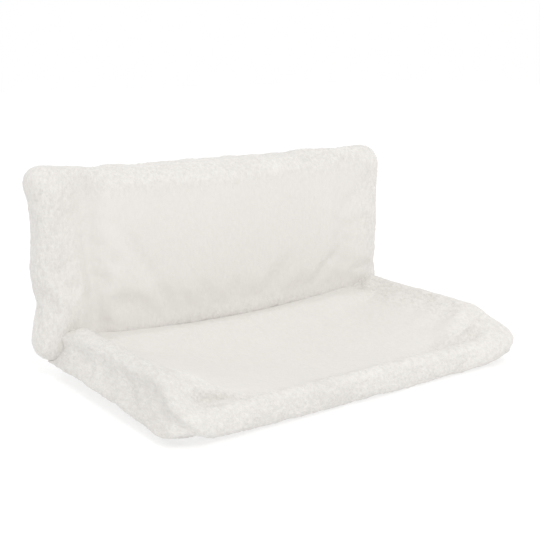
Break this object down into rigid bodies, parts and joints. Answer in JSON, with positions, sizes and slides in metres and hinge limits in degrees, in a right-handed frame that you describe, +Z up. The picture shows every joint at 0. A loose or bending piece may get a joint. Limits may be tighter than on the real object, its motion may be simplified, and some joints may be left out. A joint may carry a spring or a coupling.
{
  "type": "cat radiator bed",
  "caption": "Plush hammock bed for a cat: a padded back and a sunken seat on a bent tube frame that hangs from a radiator by adjustable steel hooks.",
  "frame": {"origin": "on the plane under the flat belly of the seat, under the middle of the whole bed with its hooks closed", "axes": "+Z up, +X to the right as seen from the front, -Y towards the front roll and +Y towards the radiator and the hooks"},
  "size_m": [0.46, 0.3492, 0.217],
  "materials": {
    "tube_steel": "satin",
    "strip_steel": "satin",
    "zinc": "satin",
    "nylon": "matte",
    "soft_cap": "matte",
    "foam": "matte",
    "plush": "matte",
    "backing": "matte",
    "zip_tape": "matte",
    "zip_metal": "satin"
  },
  "bodies": {
    "root": {"back_frame": "tube_steel", "middle_cross_bar": "tube_steel", "lower_cross_bar": "tube_steel", "left_seat_rail": "tube_steel", "right_seat_rail": "tube_steel", "front_bar": "tube_steel", "left_hanging_arm": "strip_steel", "right_hanging_arm": "strip_steel", "frame_screws": "zinc", "arm_bolts": "zinc", "arm_nuts": "zinc", "left_clamp_screw": "zinc", "right_clamp_screw": "zinc", "left_corner_connector": "nylon", "right_corner_connector": "nylon", "slit_grommets": "nylon", "left_arm_pad": "soft_cap", "right_arm_pad": "soft_cap", "front_foam_sleeve": "foam", "back_foam_pad": "foam", "back_plush_cover": "plush", "seat_plush_cover": "plush", "back_rear_panel": "backing", "seat_under_panel": "backing", "upper_zip_tape": "zip_tape", "lower_zip_tape": "zip_tape"},
    "left_hook": {"left_hook": "strip_steel", "left_hook_cap": "soft_cap"},
    "right_hook": {"right_hook": "strip_steel", "right_hook_cap": "soft_cap"},
    "left_washer": {"left_clamp_washer": "zinc"},
    "right_washer": {"right_clamp_washer": "zinc"},
    "left_nut": {"left_wing_nut": "zinc"},
    "right_nut": {"right_wing_nut": "zinc"},
    "zip_slider": {"zip_slider": "zip_metal"},
    "zip_pull_tab": {"zip_pull_tab": "zip_metal"}
  },
  "joints": [
    {"name": "left_hook_slide", "type": "slide", "parent": "root", "child": "left_hook", "axis": [0, 1, 0], "range_m": [0, 0.04]},
    {"name": "left_nut_rise", "type": "slide", "parent": "root", "child": "left_washer", "axis": [0, 0, 1], "range_m": [0, 0.0015]},
    {"name": "left_nut_turn", "type": "hinge", "parent": "left_washer", "child": "left_nut", "pos_m": [-0.15, 0.15885, 0.185], "axis": [0, 0, 1], "range_deg": [0, 541]},
    {"name": "right_hook_slide", "type": "slide", "parent": "root", "child": "right_hook", "axis": [0, 1, 0], "range_m": [0, 0.04]},
    {"name": "right_nut_rise", "type": "slide", "parent": "root", "child": "right_washer", "axis": [0, 0, 1], "range_m": [0, 0.0015]},
    {"name": "right_nut_turn", "type": "hinge", "parent": "right_washer", "child": "right_nut", "pos_m": [0.15, 0.15885, 0.185], "axis": [0, 0, 1], "range_deg": [0, 541]},
    {"name": "zip_slide", "type": "slide", "parent": "root", "child": "zip_slider", "axis": [1, 0, 0], "range_m": [-0.378, 0]},
    {"name": "pull_tab_flip", "type": "hinge", "parent": "zip_slider", "child": "zip_pull_tab", "pos_m": [0.1935, 0.10435, 0.062], "axis": [0, 0, 1], "range_deg": [-150, 0]}
  ],
  "couplings": [
    {"joint": "left_nut_turn", "follows": "left_nut_rise", "rad_per_m": 6283.2},
    {"joint": "right_nut_turn", "follows": "right_nut_rise", "rad_per_m": 6283.2}
  ]
}
